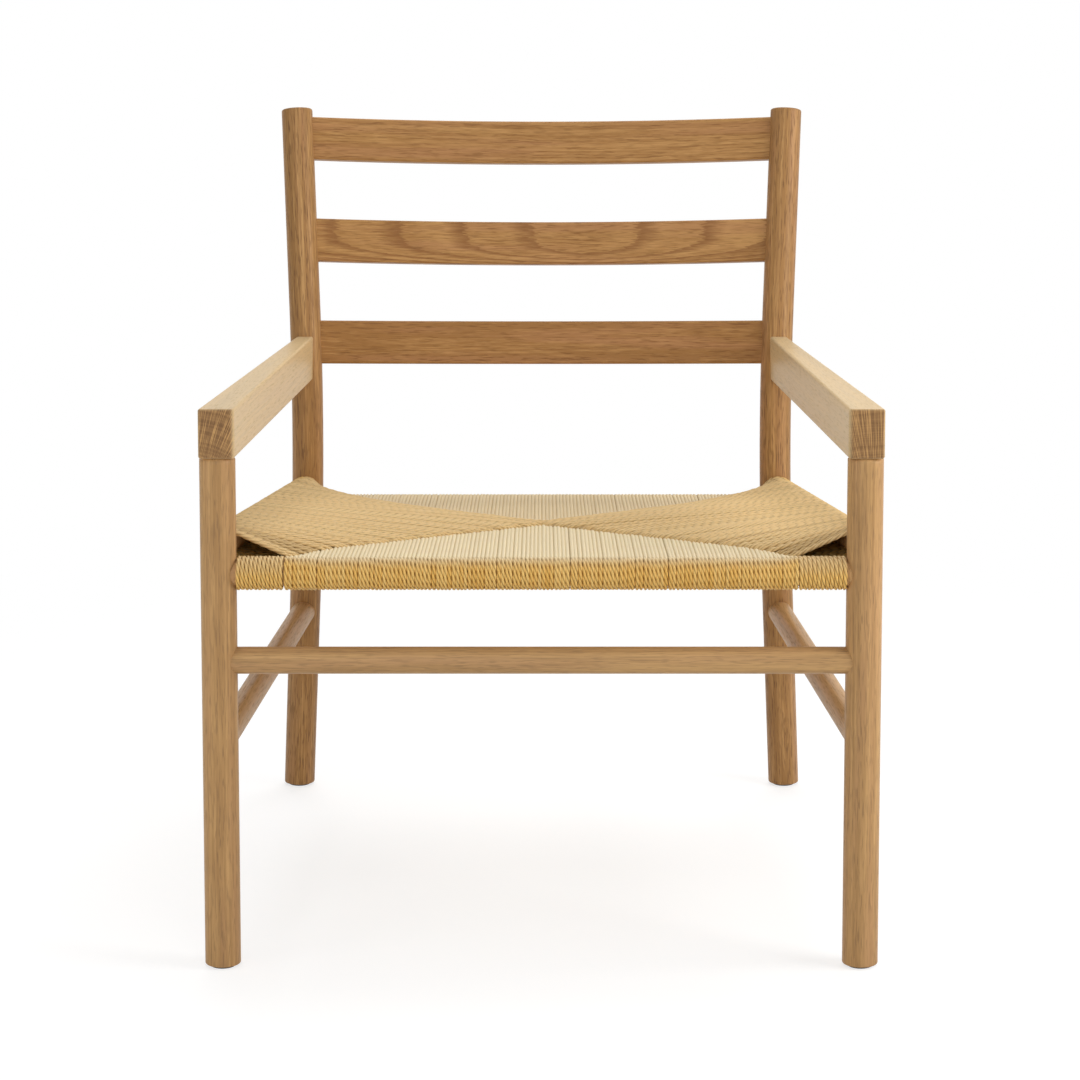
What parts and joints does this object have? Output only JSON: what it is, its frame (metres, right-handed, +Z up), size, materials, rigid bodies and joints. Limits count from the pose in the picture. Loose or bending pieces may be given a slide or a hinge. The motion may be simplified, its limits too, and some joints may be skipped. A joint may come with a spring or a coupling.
{
  "type": "armchair",
  "caption": "Low wooden armchair with round legs, bent rear posts, bowed back slats, tapered flat arms and a woven cord seat.",
  "frame": {"origin": "on the floor, at the middle of the chair's box in plan", "axes": "+Z up, the front of the seat faces -Y, +X to the right as the chair is seen from the front"},
  "size_m": [0.68, 0.6945, 0.8245],
  "materials": {
    "oiled_oak": "satin oil",
    "beech_tenon": "bare",
    "paper_cord": "twisted paper cord",
    "black_nylon": "matte"
  },
  "bodies": {
    "root": {"front_leg_left": "oiled_oak", "front_leg_right": "oiled_oak", "rear_post_left": "oiled_oak", "rear_post_right": "oiled_oak", "arm_left": "oiled_oak", "arm_right": "oiled_oak", "slat_top": "oiled_oak", "slat_middle": "oiled_oak", "slat_bottom": "oiled_oak", "seat_rail_front": "oiled_oak", "seat_rail_rear": "oiled_oak", "seat_rail_left": "oiled_oak", "seat_rail_right": "oiled_oak", "stretcher_front": "oiled_oak", "stretcher_rear": "oiled_oak", "stretcher_left": "oiled_oak", "stretcher_right": "oiled_oak", "arm_tenon_left": "beech_tenon", "arm_tenon_right": "beech_tenon", "seat_weave_front": "paper_cord", "seat_weave_rear": "paper_cord", "seat_weave_left": "paper_cord", "seat_weave_right": "paper_cord", "glide_front_left": "black_nylon", "glide_front_right": "black_nylon", "glide_rear_left": "black_nylon", "glide_rear_right": "black_nylon"}
  },
  "joints": []
}
